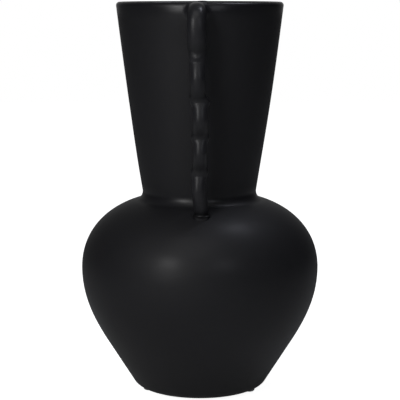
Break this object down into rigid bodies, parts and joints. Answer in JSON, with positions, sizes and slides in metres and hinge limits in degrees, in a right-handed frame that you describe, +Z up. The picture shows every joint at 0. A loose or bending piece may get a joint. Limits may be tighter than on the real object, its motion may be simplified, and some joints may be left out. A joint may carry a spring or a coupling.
{
  "type": "vase",
  "caption": "Tall amphora-shaped vase with a flared neck, a round belly, pinched strap handles and soft bumpers under the foot.",
  "frame": {"origin": "on the table, below the vase's axis", "axes": "+Z up along the vase's axis, one handle towards -Y and the other towards +Y"},
  "size_m": [0.2016, 0.2016, 0.33],
  "materials": {
    "glazed_clay": "satin-matte black glaze over stoneware",
    "bumper": "clear soft plastic, lightly clouded"
  },
  "bodies": {
    "root": {"belly": "glazed_clay", "neck": "glazed_clay", "handle_front": "glazed_clay", "handle_back": "glazed_clay", "pad_right": "bumper", "pad_left": "bumper", "pad_back": "bumper"}
  },
  "joints": []
}
